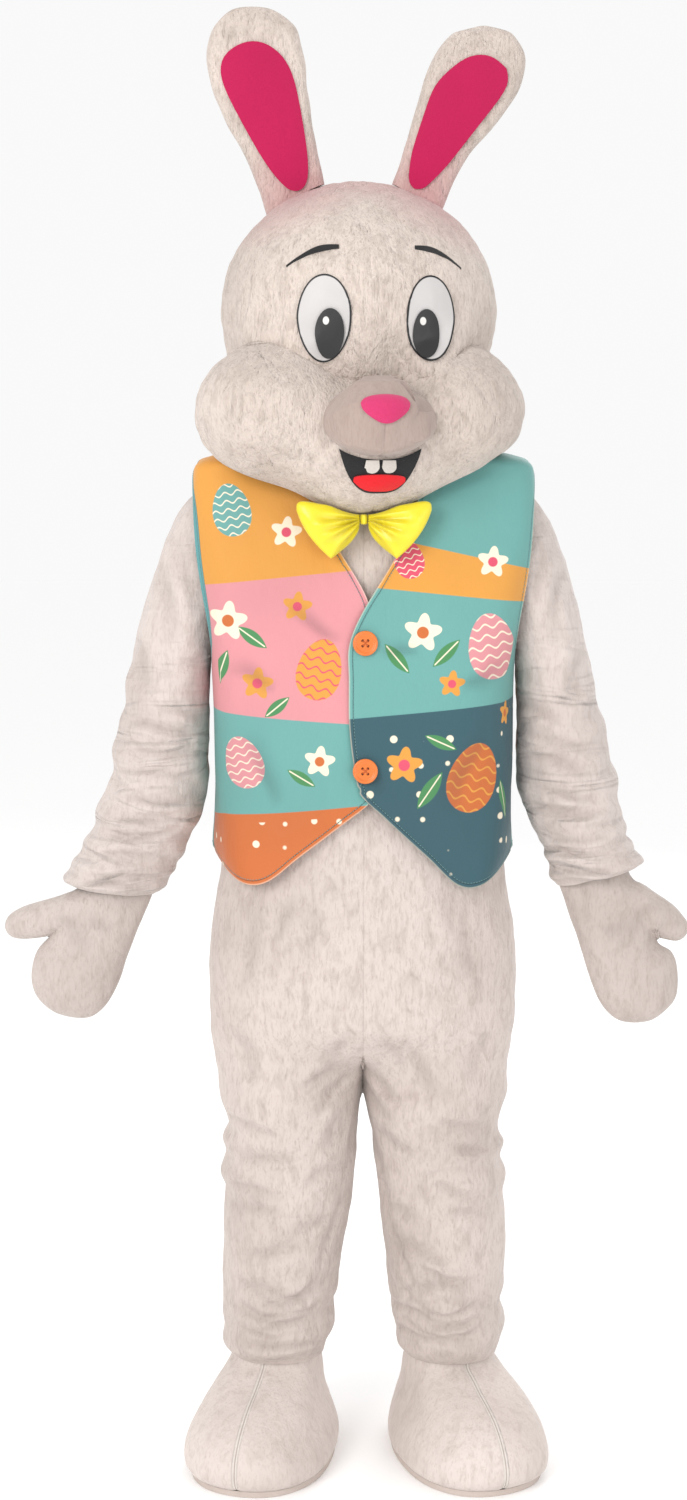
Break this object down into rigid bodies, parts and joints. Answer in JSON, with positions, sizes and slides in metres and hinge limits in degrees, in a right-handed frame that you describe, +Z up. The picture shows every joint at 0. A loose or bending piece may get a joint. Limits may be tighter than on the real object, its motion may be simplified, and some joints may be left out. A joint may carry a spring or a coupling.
{
  "type": "rabbit mascot costume",
  "caption": "Full-body rabbit mascot costume in its worn pose: plush suit, big foam head with upright ears, mittens, oversized feet, printed vest and satin bow.",
  "frame": {"origin": "midway between the wearer's shoulders at the base of the neck, 1.42 m above the soles", "axes": "+Z up, +X to the viewer's right, and the costume faces -Y"},
  "size_m": [0.9667, 0.4418, 2.051],
  "materials": {
    "plush": "short white pile",
    "short_plush": "smooth very short pile",
    "pink_felt": "felt",
    "black_felt": "felt",
    "red_felt": "felt",
    "tooth_felt": "felt",
    "eye_fabric": "smooth cloth",
    "vest_print": "printed satin",
    "satin": "glossy satin",
    "button": "satin",
    "sole": "matt"
  },
  "bodies": {
    "root": {"suit_front_left": "plush", "suit_front_right": "plush", "suit_back_left": "plush", "suit_back_right": "plush", "trouser_front_left": "plush", "trouser_front_right": "plush", "trouser_back_left": "plush", "trouser_back_right": "plush", "sleeve_left": "plush", "sleeve_right": "plush", "vest_front_left": "vest_print", "vest_front_right": "vest_print", "vest_back": "vest_print", "button_upper": "button", "button_lower": "button", "head_crown": "plush", "head_jaw_left": "plush", "head_jaw_right": "plush", "muzzle": "short_plush", "nose": "pink_felt", "mouth": "black_felt", "tongue": "red_felt", "tooth_left": "tooth_felt", "tooth_right": "tooth_felt", "eye_left": "eye_fabric", "eye_right": "eye_fabric", "pupil_left": "black_felt", "pupil_right": "black_felt", "brow_left": "black_felt", "brow_right": "black_felt", "ear_left": "plush", "ear_right": "plush", "ear_lining_left": "pink_felt", "ear_lining_right": "pink_felt", "mitten_palm_left": "short_plush", "mitten_palm_right": "short_plush", "mitten_back_left": "short_plush", "mitten_back_right": "short_plush", "foot_outer_left": "plush", "foot_outer_right": "plush", "foot_inner_left": "plush", "foot_inner_right": "plush", "sole_left": "sole", "sole_right": "sole", "bow_left": "satin", "bow_right": "satin", "bow_knot": "satin"}
  },
  "joints": []
}
